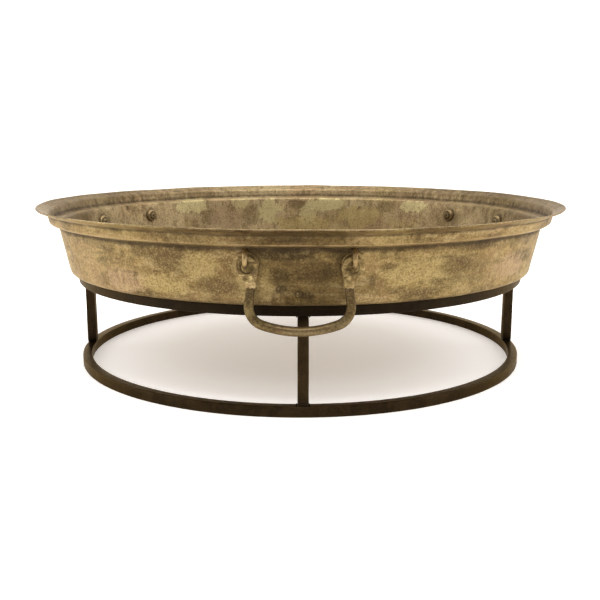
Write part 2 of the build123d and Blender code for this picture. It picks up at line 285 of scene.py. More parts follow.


# aged bronze sheet, one mix over the other: khaki clouds on brown, level strokes outside and runs inside,
# pink haze, ragged patches at chosen places, speckles, pits, painted shade and ash, grime with painted
# shade, and rubbed edges with painted highlight lines
def bronzePaint(name, light=1.0, seed=0.0, hammered=1.0, mottled=1.0, patches=()):
    p = Paint(name)
    inner = p.mark("inner")
    outer = 1 - inner
    shifted = p.moved(seed, seed * 0.7, 0)
    aside = p.moved(seed - 5, 3, 2)
    large = p.noise(4.2, 3, 0.5, 0.4, shifted)
    middle = p.noise(15, 7, 0.60, 0.6, shifted)
    small = p.noise(80, 5, 0.68, 0.2, shifted)
    fine = p.noise(290, 4, 0.65, 0.0, shifted)
    runs = p.noise(1.0, 7, 0.68, 0.3, p.stretched(70, 70, 24))
    brushed = p.noise(1.0, 9, 0.70, 0.5, p.stretched(9, 9, 42))
    drawn = runs * inner + brushed * outer
    ragged = middle * 0.40 + drawn * 0.45 + small * 0.15

    def tint(red, green, blue):
        return red * light, green * light, blue * light

    tone = large * 0.55 + middle * 0.25 + drawn * 0.20
    # the inside's colours are lighter than the outside's: partly its paler patina, partly painted light
    low = p.mix(inner, tint(0.170, 0.108, 0.041), tint(0.245, 0.172, 0.092))
    high = p.mix(inner, tint(0.290, 0.198, 0.076), tint(0.475, 0.368, 0.205))
    colour = p.mix(p.step(tone, 0.42, 0.57), low, high)
    pink = p.step(p.noise(6, 4, 0.55, 0.3, aside) + inner * 0.03, 0.47, 0.64)
    colour = p.mix(pink * 0.65, colour, tint(0.300, 0.192, 0.099))
    pale = p.step(p.noise(9, 6, 0.62, 0.6, aside) * 0.6 + drawn * 0.4, 0.50, 0.60)
    colour = p.mix(pale * 0.55 * mottled, colour, tint(0.400, 0.305, 0.128))
    dark = p.step(p.noise(7, 8, 0.66, 0.6, aside) * 0.55 + brushed * 0.45, 0.52, 0.62)
    colour = p.mix(dark * (0.62 * outer + 0.35) * mottled, colour, tint(0.088, 0.055, 0.021))
    for strokes, side in ((runs, inner), (brushed, outer)):
        colour = p.mix(p.step(strokes, 0.50, 0.60) * side * 0.55 * mottled, colour,
                       tint(0.125, 0.082, 0.036))
        colour = p.mix(p.step(strokes, 0.49, 0.39) * side * 0.40 * mottled, colour,
                       tint(0.480, 0.370, 0.190))
    for kind, place, reach, share in patches:
        within = place[1] > 0          # behind the middle on the inner face, before it on the outer
        spread, soft = (3.6, 0.12) if within else (2.9, 0.28)
        shape = p.spot(place, reach, ragged, spread, soft) * (inner if within else outer)
        colour = p.mix(shape * share, colour, tint(*kind))
    flecked = p.step(p.noise(11, 4, 0.6, 0.3, aside), 0.46, 0.62)
    colour = p.mix(p.step(small, 0.50, 0.64) * (0.10 + 0.42 * flecked) * mottled, colour,
                   tint(0.085, 0.053, 0.021))
    colour = p.mix(p.step(small, 0.49, 0.36) * (0.08 + 0.36 * flecked) * mottled, colour,
                   tint(0.440, 0.335, 0.150))
    colour = p.mix(p.step(fine, 0.51, 0.62) * 0.50, colour, tint(0.080, 0.050, 0.020))
    colour = p.mix(p.step(fine, 0.47, 0.36) * 0.36, colour, tint(0.470, 0.360, 0.165))
    pits = (1 - p.step(p.cells(210, place=shifted), 0.08, 0.24)) * p.step(middle, 0.47, 0.58)
    colour = p.mix(pits * 0.6, colour, (0.030, 0.018, 0.007))
    # the shade mark multiplies the colour darker: painted shade on the bowl's front and inner sides, darker
    # band and flange, ash on the floor
    shade = p.step(p.mark("shade") + (middle - 0.5) + (drawn - 0.5) * 0.7, 0.1, 0.95)
    colour = p.mix(shade * 0.9, colour, (0.36, 0.33, 0.28), "MULTIPLY")
    # near black where the grime mark is: grime, and painted shade in hollows, under the band and round
    # joined parts
    grime_and_painted_shade = p.step(p.mark("grime_and_painted_shade") + (middle - 0.5) * 0.7 + (small - 0.5) * 0.5, 0.25, 0.95)
    colour = p.mix(grime_and_painted_shade * 0.8, colour, (0.030, 0.018, 0.007))
    # lighter where the edge mark is: rubbed wear, and painted highlight lines on the bowl's lip, band foot
    # and ledge and on the hooks' bends
    worn_and_highlit = p.step(p.mark("edge") + (middle - 0.5) * 1.2 + (small - 0.5) * 0.9, 0.40, 1.0)
    colour = p.mix(worn_and_highlit * 0.5, colour, (0.40, 0.275, 0.130))
    rough = 0.48 + (middle - 0.5) * 0.3 + (small - 0.5) * 0.4 + grime_and_painted_shade * 0.2 - worn_and_highlit * 0.08
    metal = 0.66 - (tone - 0.5) * 0.6 + worn_and_highlit * 0.15 - grime_and_painted_shade * 0.4 - inner * 0.22
    dents = p.cells(26, feature="SMOOTH_F1", place=shifted)
    normal = p.bump(dents, 0.0013 * hammered, 0.5)
    normal = p.bump(middle * 0.5 + small * 0.35, 0.0017 * hammered, 0.65, normal)
    normal = p.bump(fine * 0.5 - pits * 0.9, 0.0006, 0.7, normal)
    return p.surface({"Base Color": colour, "Roughness": rough, "Metallic": metal, "Normal": normal,
                      "Specular IOR Level": 0.22, "Specular Tint": (0.92, 0.80, 0.63, 1)})


# oiled iron bar: the base colour times 1.7 in clouds, about 2 in rust freckles, 0.4 in dark ones and 4 on
# rubbed corners, with a thin scale in the relief
def ironPaint(name, base=(0.020, 0.0125, 0.0056), rust=0.5, shine=0.42, metal=0.80):
    p = Paint(name)
    middle = p.noise(24, 7, 0.68, 0.4)
    small = p.noise(120, 5, 0.7)
    fine = p.noise(420, 3, 0.6)
    colour = p.mix(p.step(middle, 0.38, 0.62), base, tuple(c * 1.7 for c in base))
    rusty = tuple(c * r for c, r in zip(base, (2.3, 2.1, 1.8)))
    colour = p.mix(p.step(small, 0.54, 0.66) * rust, colour, rusty)
    colour = p.mix(p.step(fine, 0.52, 0.64) * 0.45, colour, tuple(c * 0.4 for c in base))
    worn_and_highlit = p.step(p.mark("edge") + (middle - 0.5) * 0.8 + (fine - 0.5) * 0.4, 0.5, 1.0)
    colour = p.mix(worn_and_highlit * 0.45, colour, tuple(c * 4 for c in base))
    # near black where the grime mark is: grime and painted shade at joints and beads, painted shade on the
    # top ring's front
    colour = p.mix(p.mark("grime_and_painted_shade") * 0.85, colour, (0.004, 0.0025, 0.0015))
    scale = p.step(p.cells(90), 0.1, 0.7)
    rough = shine + (middle - 0.5) * 0.3 + (small - 0.5) * 0.3 + p.mark("grime_and_painted_shade") * 0.25
    normal = p.bump(middle * 0.6 + scale * 0.15, 0.0012, 0.5)
    normal = p.bump(small * 0.6 + fine * 0.3, 0.0006, 0.7, normal)
    return p.surface({"Base Color": colour, "Roughness": rough, "Metallic": metal - p.mark("grime_and_painted_shade") * 0.5,
                      "Normal": normal, "Specular IOR Level": 0.15, "Specular Tint": (0.72, 0.60, 0.44, 1)})


bowl = {          # lengths in mm, as in all these dictionaries
    "sheet": 3.0,
    "floorDish": 6.0,         # how far the floor's middle lies below its edge
    "floorPoints": 12,
    "corners": [(455, 202.2), (502, 202.2), (523.0, 304.6), (541.0, 308.8), (545.6, 327.6), (567.2, 336.9)],
    "bends": [12, 4, 7, 8],   # radii of the outer face at the corners between
    "around": 512,            # points round the bowl
    "lip": (1.75, 1.8),       # rounding of the rim's lip, across and beyond the sheet
    "rimLift": 0.9,           # uneven rim, up and down
    "rimPush": 1.1,           # uneven rim, in and out
    "backLift": 1.6,          # the rim's high spot
    "backAngle": 86,          # and where it is, in degrees
    "dent": 0.55,             # dents of the wall
}


# outer face of the bowl in mm: edge height - dish * (1 - (radius / edge)^2), then the bent profile
def bowlProfile():
    edgeRadius, edgeHeight = bowl["corners"][0]
    floor = np.linspace(12, 440, bowl["floorPoints"])
    dish = edgeHeight - bowl["floorDish"] * (1 - (floor / edgeRadius) ** 2)
    path = bentPath(bowl["corners"], bowl["bends"], 12)
    return np.concatenate([np.stack([floor, dish], 1), path])


# how far hand work has moved the sheet out and up: slow waves times a weight that grows towards the rim, a
# bell-shaped high spot at the back, and dents in the wall
def handWork(angle, radius, height):
    grow = ease(height, 215, 335)
    ring = np.stack([np.cos(angle), np.sin(angle), np.zeros_like(angle)], -1)
    push = unevenness(ring, 0.55, 5) * bowl["rimPush"] * 0.5 * grow
    lift = (unevenness(ring, 0.8, 8) * 0.55 + unevenness(ring, 2.6, 9) * 0.28) * bowl["rimLift"] * grow
    fromBack = apart(angle, math.radians(bowl["backAngle"]))
    lift = lift + bowl["backLift"] * np.exp(-(fromBack / math.radians(4.5)) ** 2) * ease(height, 290, 335)
    spot = np.stack([radius * np.cos(angle), radius * np.sin(angle), height], -1) * mm
    dents = unevenness(spot, 7, 21) + 0.6 * unevenness(spot, 16, 22)
    push = push + dents * bowl["dent"] * ease(radius, 440, 500) * 0.6
    return push, lift


# the bowl's sheet: inner face = outer face + normal * sheet, a half-round lip between them, and the whole
# section turned once round the upright axis, moved by the hand work
def makeBowl(paint):
    outer = bowlProfile()
    normals = leftNormals(outer)
    inner = outer + normals * bowl["sheet"]
    flat = bowl["floorPoints"] + 1            # on the floor both faces have the same radii
    inner[:flat, 0] = outer[:flat, 0]
    tipMiddle = (outer[-1] + inner[-1]) / 2
    along = np.array([normals[-1][1], -normals[-1][0]])
    across, beyond = bowl["lip"]
    tip = [tipMiddle - normals[-1] * across * math.cos(a) + along * beyond * math.sin(a)
           for a in np.linspace(0.25, math.pi - 0.25, 6)]
    section = np.concatenate([outer, tip, inner[::-1]])
    turn = np.linspace(0, 2 * math.pi, bowl["around"], endpoint=False)
    angle = turn[None, :] * np.ones((len(section), 1))
    radius, height = section[:, :1] * np.ones_like(angle), section[:, 1:] * np.ones_like(angle)
    push, lift = handWork(angle, radius, height)
    radius, height = radius + push, height + lift
    points = np.stack([radius * np.cos(angle), radius * np.sin(angle), height], -1) * mm

    # 1 at a point of the section, falling as exp(-(distance / width)^2)
    def near(r, z, width):
        return np.exp(-((section[:, 0] - r) ** 2 + (section[:, 1] - z) ** 2) / width ** 2)[:, None]

    # lighter: the lip, the band's foot, the flange's inner corner and the ledge, rubbed wear and painted
    # highlight lines; darker: the hollows between, grime and painted shade
    edge = near(570, 339.5, 3.2) * 0.55 + near(541, 310, 3.5) * 0.9 + near(545, 332.5, 3.5) * 0.8
    edge = edge + near(525, 308.5, 4) * 0.8 + near(500, 203, 6) * 0.5
    grime_and_painted_shade = near(524.5, 301.5, 8) + near(547, 327.5, 5) * 0.75
    inside = (np.arange(len(section)) > len(outer) + 2)[:, None]
    grime_and_painted_shade = grime_and_painted_shade * ~inside + inside * (near(538, 313.5, 6) * 0.8 + near(497, 208, 9) * 0.8)
    # darker: painted shade on the front of the wall and on the inside at both sides; the band and flange
    # darker; ash on the floor
    shade = 0.85 * np.exp(-(apart(angle, -math.pi / 2) / math.radians(12)) ** 2) * ~inside
    shade = shade + 0.22 * ease(height, 306, 312) * ~inside + 0.36 * ease(height, 316, 326) * inside
    fromSides = np.minimum(apart(angle, 0), apart(angle, math.pi))
    shade = shade + 0.95 * np.exp(-(fromSides / math.radians(36)) ** 2) * inside * ease(height, 204, 214)
    shade = shade + 0.60 * (1 - ease(radius, 330, 490)) * inside
    part = gridPart(points, marks={"edge": edge, "grime_and_painted_shade": grime_and_painted_shade, "shade": shade, "inner": inside * 1.0})
    makePiece("bowlSheet", [part], [paint], "bowl", ["bowl"])


# outer radius of the straight wall at a height, in mm: straight line between the two wall corners
def wallRadius(height):
    (lowR, lowZ), (highR, highZ) = bowl["corners"][1:3]
    return lowR + (height - lowZ) * (highR - lowR) / (highZ - lowZ)


# out-distance of the wall's outer face at a sideways offset: sqrt(radius^2 - offset^2), hand work included
def wallOut(offset, height, azimuth):
    radius = wallRadius(height)
    angle = np.arctan2(offset, radius) + math.radians(azimuth - 90)
    push, lift = handWork(angle, radius * np.ones_like(angle), height * np.ones_like(angle))
    return np.sqrt((radius + push) ** 2 - offset ** 2)


lug = {
    "offset": 90.5,           # sideways from the handle's middle
    "bar": 4.35,              # radius of the hook's bar
    "bend": 12.0,
    "middle": (525.0, 288.5),          # middle of the bend: out, up
    "back": 2.5,              # straight run after the bend
    "head": 8.5,              # radius of the peened head
    "headHeight": 5.0,
    "plate": 22.3,            # radius of the backing plate outside
    "plateThick": 2.8,
    "washer": 14.9,           # radius of the washer inside
}
legHeight = lug["middle"][1] - lug["bend"]
washerFace = -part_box("lug_washers_front")[1][1] / mm          # how far out the washers' inner faces stand


# round bar swept along a flat path: each ring is its point of the path plus
# radius * (normal * cos(a) + sideways * sin(a))
def sweepRound(path, radii, side, around=28):
    normals = leftNormals(path)
    a = np.linspace(0, 2 * math.pi, around, endpoint=False)
    radii = np.asarray(radii)[:, None]
    u = path[:, :1] + normals[:, :1] * radii * np.cos(a)
    v = path[:, 1:] + normals[:, 1:] * radii * np.cos(a)
    w = side + radii * np.sin(a)
    return u, v, w


# hook-shaped lug: straight leg from the washer, half circle, short run back whose radius closes as
# sqrt(1 - past^2); and its peened head, a dome of sqrt(1 - share^4) with a hollow in the middle
def lugParts(azimuth, side, seed):
    x, z = lug["middle"]
    bend, bar = lug["bend"], lug["bar"]
    out = np.linspace(washerFace, x, 9)
    leg = np.stack([out, np.full(len(out), z - bend)], 1)
    turn = np.linspace(-90, 90, 31)[1:]
    arc = np.stack([x + bend * np.cos(np.radians(turn)), z + bend * np.sin(np.radians(turn))], 1)
    back = np.linspace(0, 1, 9)[1:]
    tip = np.stack([x - back * (lug["back"] + bar * 0.98), np.full(len(back), z + bend)], 1)
    path = np.concatenate([leg, arc, tip])
    past = np.clip((x - tip[:, 0] - lug["back"]) / bar, 0, 0.98)
    radii = np.concatenate([np.full(len(leg) + len(arc), bar), bar * np.sqrt(1 - past ** 2)])
    number = np.arange(len(path))
    radii = radii * (1 - 0.03 + 0.03 * np.sin(number * 0.9 + seed))
    u, v, w = sweepRound(path, radii, side * lug["offset"])
    points = atAzimuth(np.stack([u, w, v], -1) * mm, azimuth)
    # the bend and tip lighter, a painted highlight where the band shades them; darker near the washer:
    # grime and painted shade
    edge = ease(number, 10, 18)
    grime_and_painted_shade = (1 - ease(number, 3, 9)) * 0.6
    hook = gridPart(points, marks={"edge": edge[:, None], "grime_and_painted_shade": grime_and_painted_shade[:, None]})
    share = np.linspace(0.04, 1, 12)
    rise = np.sqrt(1 - (share * 0.985) ** 4) * lug["headHeight"] * 0.58 - 1.1 * np.exp(-(share / 0.34) ** 2)
    under = [[lug["head"] * 0.985, -0.4], [3, -0.4]]          # the head's lower side sinks into the washer
    rings = np.concatenate([np.stack([share * lug["head"], rise], 1), under])
    a = np.linspace(0, 2 * math.pi, 40, endpoint=False)
    lumpy = 1 - 0.035 + 0.035 * np.sin(3 * a + seed) * np.cos(2 * a + 2 * seed)
    out = washerFace - rings[:, 1:] * np.ones_like(a)
    points = np.stack([out, side * lug["offset"] + rings[:, :1] * lumpy * np.cos(a),
                       legHeight + rings[:, :1] * lumpy * np.sin(a)], -1)
    # darker in the hollow and round the head's foot: grime and painted shade; a lighter ring between
    hollow = np.concatenate([(1 - ease(share, 0.20, 0.50)) + ease(share, 0.85, 0.97) * 0.9, [0.9, 0.9]])
    rubbed = np.concatenate([ease(share, 0.30, 0.55) * 0.45, [0, 0]])
    marks = {"edge": rubbed[:, None], "grime_and_painted_shade": hollow[:, None], "inner": 1.0}
    head = gridPart(atAzimuth(points * mm, azimuth), marks=marks)
    head["coat"] = 1                          # the peened head takes the sheet's patina
    return [hook, head]


# round disc lying on the wall, rings from the middle out: outside wall + level * thickness, inside
# the wall's inner face + level * way to the washers' face
def discPart(azimuth, side, reach, outward, seed):
    share = np.array([0.06, 0.3, 0.5, 0.66, 0.8, 0.9, 0.96, 0.99, 1.0, 1.0, 0.97, 0.6, 0.1])
    level = np.array([1, 1, 1, 1, 0.98, 0.94, 0.82, 0.62, 0.35, 0.0, -0.12, -0.12, -0.12])
    a = np.linspace(0, 2 * math.pi, 72, endpoint=False)
    uneven = 1 - 0.018 + 0.018 * np.sin(2 * a + seed) * np.sin(3 * a + seed * 2)
    y = side * lug["offset"] + share[:, None] * reach * uneven * np.cos(a)
    z = legHeight + share[:, None] * reach * uneven * np.sin(a)
    wall = wallOut(y, z, azimuth)
    if outward:
        x = wall + level[:, None] * lug["plateThick"]
    else:
        inside = wall - bowl["sheet"] * 1.03
        x = inside + (washerFace - inside) * level[:, None]
    # lighter rim; darker where the head or hook sits and at the disc's foot: grime and painted shade
    edge = (ease(share, 0.8, 0.93) * (level > 0.3) * 0.85)[:, None]
    seat = (1 - ease(share, 0.64, 0.84)) * 0.9 if not outward else (1 - ease(share, 0.25, 0.45)) * 0.6
    grime_and_painted_shade = (seat + (level < 0.4) * 0.9)[:, None]
    marks = {"edge": edge, "grime_and_painted_shade": grime_and_painted_shade, "inner": 0.0 if outward else 1.0}
    return gridPart(atAzimuth(np.stack([x, y, z], -1) * mm, azimuth), marks=marks)


handle = {
    "eyeOffset": 87.5,
    "eyeHeight": lug["middle"][1] - 14.6,
    "hole": 9.55,             # radius of the eye's hole
    "eyeRadius": 19.4,
    "footRadius": 8.8,        # where the eye runs out in the sleeve
    "footHeight": 249.0,
    "halfThick": 3.95,
    "sleeveOffset": 81.2,
    "sleeveRadius": 9.7,
    "sleeveCorner": 1.5,
    "sleeveLow": 238.2,
    "sleeveHigh": 258.0,
    "armTop": 244.0,
    "arm": (85.1, 210.8),     # where the arm ends and the corner begins: sideways, up
    "lean": 7.0,              # degrees of the arm from upright
    "turn": 70.0,             # degrees from upright where the corner ends
    "corner": 33.0,           # radius of the corner
    "rod": 8.55,              # radius of the grip
    "neck": 7.7,              # radius of the arms' upper ends
}


# U-shaped line of the rod: leaning arm, corner arc from the lean to the turn, and a grip whose arc goes on
# to the middle, its radius = sideways / sin(dip); then the same mirrored
def rodPath():
    lean, turn = math.radians(handle["lean"]), math.radians(handle["turn"])
    armY, armZ = handle["arm"]
    corner = handle["corner"]
    arm = np.linspace(handle["armTop"], armZ, 12)
    armPoints = np.stack([armY - (arm - armZ) * math.tan(lean), arm], 1)
    sweepAngle = np.linspace(-lean, turn, 17)[1:]
    bend = np.stack([armY + corner * (np.cos(sweepAngle) - math.cos(lean)),
                     armZ - corner * (np.sin(sweepAngle) + math.sin(lean))], 1)
    lowY, lowZ = bend[-1]
    dip = math.pi / 2 - turn
    gripBend = lowY / math.sin(dip)
    across = np.linspace(dip, 0, 22)[1:]
    grip = np.stack([gripBend * np.sin(across), lowZ + gripBend * (math.cos(dip) - np.cos(across))], 1)
    half = np.concatenate([armPoints, bend, grip])
    other = half[:-1][::-1] * np.array([-1, 1])
    return np.concatenate([half, other])


# rod swept along its line: radius from the rod's in the grip to the neck's at the ends, 1.6 mm less inside
# the sleeves, less a little unevenness
def rodPart(azimuth, seed):
    path = rodPath()
    fromMiddle = np.abs(np.linspace(-1, 1, len(path)))
    radii = handle["neck"] + (handle["rod"] - handle["neck"]) * (1 - ease(fromMiddle, 0.62, 0.97))
    radii = radii - 1.6 * ease(path[:, 1], 238.5, 240.5)
    spots = np.stack([path[:, 0], path[:, 1], np.full(len(path), seed * 31.0)], 1) * mm
    radii = radii - 0.16 + 0.16 * unevenness(spots, 22, 40 + seed)
    u, v, w = sweepRound(path, radii, lug["middle"][0], 36)
    points = np.stack([w, u, v], -1)
    points = atAzimuth(points * mm, azimuth)
    rubbed = (1 - ease(np.abs(path[:, 0]), 30, 75)) * 0.15
    # the arms darker where they go into the sleeves: grime and painted shade
    neckDark = ease(path[:, 1], 226, 238) * 0.6
    return gridPart(points, marks={"edge": rubbed[:, None], "grime_and_painted_shade": neckDark[:, None]})


# distance to the eye's outline, negative inside: the least of those to circles that shrink on their way
# from the eye to its foot, and to the sleeve's box with rounded corners
def eyeDistance(y, z):
    top = np.array([handle["eyeOffset"], handle["eyeHeight"]])
    foot = np.array([handle["sleeveOffset"], handle["footHeight"]])
    large, small = handle["eyeRadius"], handle["footRadius"]
    share = np.linspace(0, 1, 30).reshape((-1,) + (1,) * y.ndim)
    cy, cz = top[0] + (foot[0] - top[0]) * share, top[1] + (foot[1] - top[1]) * share
    hull = (np.hypot(y - cy, z - cz) - (large + (small - large) * share)).min(0)
    low, high, corner = handle["sleeveLow"], handle["sleeveHigh"], handle["sleeveCorner"]
    dy = np.abs(y - handle["sleeveOffset"]) - handle["sleeveRadius"] + corner
    dz = np.abs(z - (low + high) / 2) - (high - low) / 2 + corner
    box = np.hypot(np.maximum(dy, 0), np.maximum(dz, 0)) + np.minimum(np.maximum(dy, dz), 0) - corner
    return np.minimum(hull, box)


# forged eye: rays from the hole to the outline; its half thickness swells into the sleeve's
# sqrt(radius^2 - offset^2) and is rounded off at outline and hole by sqrt(1 - (1 - distance)^2)
def eyePart(azimuth, side, seed):
    rays = np.linspace(0, 2 * math.pi, 168, endpoint=False)
    oy, oz = handle["eyeOffset"], handle["eyeHeight"]
    farEnough = 70.0
    low, high = np.full(len(rays), handle["hole"]), np.full(len(rays), farEnough)

    # distance to the outline with the sleeve's lower edge frayed by a sine wave
    def away(y, z):
        frayed = 0.9 + 0.9 * np.sin(y * 0.9 + 2.1 * seed)
        return eyeDistance(y, z - frayed * (1 - ease(z, 243, 252)))

    for _ in range(26):                       # halving finds where each ray leaves the outline
        half = (low + high) / 2
        inside = away(oy + half * np.cos(rays), oz + half * np.sin(rays)) < 0
        low, high = np.where(inside, half, low), np.where(inside, high, half)
    share = (1 - np.cos(np.linspace(0, math.pi, 31))) / 2
    out = handle["hole"] + (low - handle["hole"]) * share[:, None]
    y, z = oy + out * np.cos(rays), oz + out * np.sin(rays)
    toSleeve = 1 - ease(z, 250, 268)
    bulge = np.sqrt(np.maximum(handle["sleeveRadius"] ** 2 - (y - handle["sleeveOffset"]) ** 2, 0))
    spots = np.stack([y, z, np.full_like(y, seed * 17.0)], -1) * mm
    hammer = 0.30 * unevenness(spots, 38, 60 + seed) + 0.16 * unevenness(spots, 90, 70 + seed) - 0.46
    thick = np.maximum((handle["halfThick"] + np.minimum(hammer, 0)) * (1 - 0.5 * toSleeve * (z < 244)),
                       bulge * toSleeve)
    fromEdge = np.maximum(-away(y, z), 0)
    soft = 2.9 - 1.9 * toSleeve
    thick = thick * np.sqrt(1 - (1 - np.clip(fromEdge / soft, 0, 1)) ** 2)
    thick = thick * np.sqrt(1 - (1 - np.clip((out - handle["hole"]) / 2.4, 0, 1)) ** 2)
    x = lug["middle"][0]
    front = np.stack([x + thick, side * y, z], -1)
    back = np.stack([x - thick, side * y, z], -1)[1:-1][::-1]
    points = np.concatenate([front, back])
    rim = np.exp(-(fromEdge / 2.5) ** 2) * 0.5 + 0.30 * ease(z, 240, 262)
    # darker round the hole and at the sleeve's lower end where the rod goes in: grime and painted shade
    hollow = np.exp(-((out - handle["hole"]) / 1.6) ** 2) * 0.45 + (1 - ease(z, 238, 241.5)) * 0.9
    edge = np.concatenate([rim, rim[1:-1][::-1]])
    grime_and_painted_shade = np.concatenate([hollow, hollow[1:-1][::-1]])
    return gridPart(atAzimuth(points * mm, azimuth), closedRows=True, marks={"edge": edge, "grime_and_painted_shade": grime_and_painted_shade})


stand = {
    "bar": 20.0,
    "legBar": 19.9,           # the uprights are a little thinner
    "round": 1.7,             # radius of the bars' corners
    "turn": 0.65,             # degrees by which the uprights are turned
    "bead": 2.7,              # leg of the weld beads
}


# section of a rectangular bar in mm: quarter circles at its corners, joined by straight runs; rubbed is
# 1 on the corners and 0 between
def barSection(width, height, corner, arc=4, between=2):
    def onCorner(quarter, degrees):
        middleX = (width / 2 - corner) * (1 if quarter in (0, 3) else -1)
        middleY = (height / 2 - corner) * (1 if quarter in (0, 1) else -1)
        a = math.radians(degrees)
        return middleX + corner * math.cos(a), middleY + corner * math.sin(a)

    points, rubbed = [], []
    for quarter in range(4):
        points += [onCorner(quarter, a) for a in np.linspace(quarter * 90, quarter * 90 + 90, arc + 1)]
        following = (quarter + 1) % 4
        (x, y), (nextX, nextY) = points[-1], onCorner(following, following * 90)
        for k in range(between):
            t = (k + 1) / (between + 1)
            points.append((x + (nextX - x) * t, y + (nextY - y) * t))
        rubbed += [1.0] * (arc + 1) + [0.0] * between
    return np.array(points), np.array(rubbed)


# bar bent to a ring: its section at outer radius - half the bar, swaying inwards in slow waves, with small
# dents cut into it and painted shade on the front as exp(-(angle / 48 degrees)^2)
def ringPart(outerRadius, low, high, bar, corner, seed, sway=0.5, around=480, front_shade_share=0.0):
    section, rubbed = barSection(bar, high - low, corner)
    angle = np.linspace(0, 2 * math.pi, around, endpoint=False)[:, None]
    ring = np.concatenate([np.cos(angle), np.sin(angle), np.zeros_like(angle)], 1)
    inward = (unevenness(ring, 1.1, seed) * 0.5 - 0.6)[:, None] * sway
    radius = outerRadius - bar / 2 + section[:, 0] + inward
    height = (low + high) / 2 + section[:, 1] + 0 * angle
    points = np.stack([radius * np.cos(angle), radius * np.sin(angle), height], -1)
    spot = points * mm
    points = points - np.abs(unevenness(spot, 30, seed + 1))[..., None] * 0.10 * ring[:, None, :]
    # painted shade on the front of the ring, fading as exp(-(angle from the front / 48 degrees)^2)
    painted_front_shade = front_shade_share * np.exp(-(apart(angle, -math.pi / 2) / math.radians(48)) ** 2)
    marks = {"edge": np.broadcast_to(rubbed, points.shape[:2]) * (0.7 - 0.5 * painted_front_shade), "grime_and_painted_shade": painted_front_shade}
    return gridPart(points * mm, closedRows=True, marks=marks)


# straight bar between two points along one local axis: start + (end - start) * t plus the section, drawn in
# by small waves and towards both ends
def barPart(start, end, width, height, axis, corner, seed, steps=24, sway=0.12):
    section, rubbed = barSection(width, height, corner)
    t = np.linspace(0, 1, steps)
    ends = np.minimum(np.clip(t * (steps - 1), 0, 1), np.clip((1 - t) * (steps - 1), 0, 1))
    shrink = 0.93 + 0.07 * np.sqrt(ends)
    a, b = [k for k in range(3) if k != axis]
    points = np.zeros((steps, len(section), 3))
    points[..., axis] = (start[axis] + (end[axis] - start[axis]) * t)[:, None]
    points[..., a] = (start[a] + (end[a] - start[a]) * t)[:, None] + section[:, 0] * shrink[:, None]
    points[..., b] = (start[b] + (end[b] - start[b]) * t)[:, None] + section[:, 1] * shrink[:, None]
    wave = -np.abs(unevenness(points * mm, 25, seed)) * sway
    start, end = np.array(start, float), np.array(end, float)
    outwards = points - (start + (end - start) * t[:, None])[:, None, :]
    outwards[..., axis] = 0
    outwards /= np.maximum(np.linalg.norm(outwards, axis=-1, keepdims=True), 1e-6)
    points = points + outwards * wave[..., None]
    marks = {"edge": np.broadcast_to(rubbed, points.shape[:2]) * 0.7}
    return points, marks


# upright between the rings, half a bar inside their outer radius, darker at both ends: grime and painted
# shade
def legPart(azimuth, low, high, outer, seed):
    middle, bar = outer - stand["bar"] / 2 - 0.12, stand["legBar"]
    points, marks = barPart((middle, 0, low), (middle, 0, high), bar, bar, 2, stand["round"], seed)
    nearEnd = np.minimum(np.linspace(0, 1, len(points)), np.linspace(1, 0, len(points)))
    marks["grime_and_painted_shade"] = ((1 - ease(nearEnd, 0.0, 0.12)) * 0.7)[:, None]
    return gridPart(atAzimuth(points * mm, azimuth + stand["turn"]), marks=marks)


# weld bead in the corner between upright and ring: a quarter-round fillet along the corner, whose leg is
# bead * (1 + 0.09 * sine) * (1 - 0.7 * (2t - 1)^8)
def weldPart(azimuth, side, height, direction, outer, seed):
    dice = np.random.default_rng(seed)
    t = np.linspace(0, 1, 34)
    along = outer - stand["bar"] + 2.5 + t * 15.0
    drops = 1 + 0.09 * np.sin(t * math.pi * 9 + dice.uniform(0, 3))
    leg = stand["bead"] * drops * (1 - (2 * t - 1) ** 8 * 0.7)
    a = np.linspace(0, math.pi / 2, 9)
    y = np.concatenate([[0.0], np.cos(a) * 0.96 + 0.04])
    z = np.concatenate([[0.0], np.sin(a) * 0.96 + 0.04])
    y = side * (stand["bar"] / 2 + leg[:, None] * y)
    z = height + direction * leg[:, None] * z
    points = np.stack([along[:, None] * np.ones(len(a) + 1), y, z], -1)
    # the beads darker all over: grime and painted shade in the corners
    return gridPart(atAzimuth(points * mm, azimuth + stand["turn"]), marks={"grime_and_painted_shade": 0.85})


grate = {
    "radius": 270.0,
    "bar": 12.0,
    "pitch": 44.0,            # from bar to bar
    "low": 201.3,             # underside of the feet
    "foot": 20.0,             # height of the feet
    "cross": 120.0,           # from the middle to either cross bar
    "crossBar": (25.0, 5.9),
    "crossDrop": 3.0,         # their middles below the ring's underside
}


# round foot under the ring, turned from a profile of radii and heights, at 45 degrees in each quarter
def footPart(quarter):
    a = np.linspace(0, 2 * math.pi, 32, endpoint=False)
    turn = math.radians(45 + 90 * quarter)
    middle = grate["radius"] - grate["bar"] / 2
    rings = np.array([(2, 0), (5.4, 0), (6.6, 0.9), (6.95, 2.2),
                      (6.95, 8), (6.95, 14), (6.95, 19.9), (2, 19.9)])
    x = middle * math.cos(turn) + rings[:, :1] * np.cos(a)
    y = middle * math.sin(turn) + rings[:, :1] * np.sin(a)
    z = grate["low"] + rings[:, 1:] + 0 * a
    return gridPart(np.stack([x, y, z], -1) * mm)


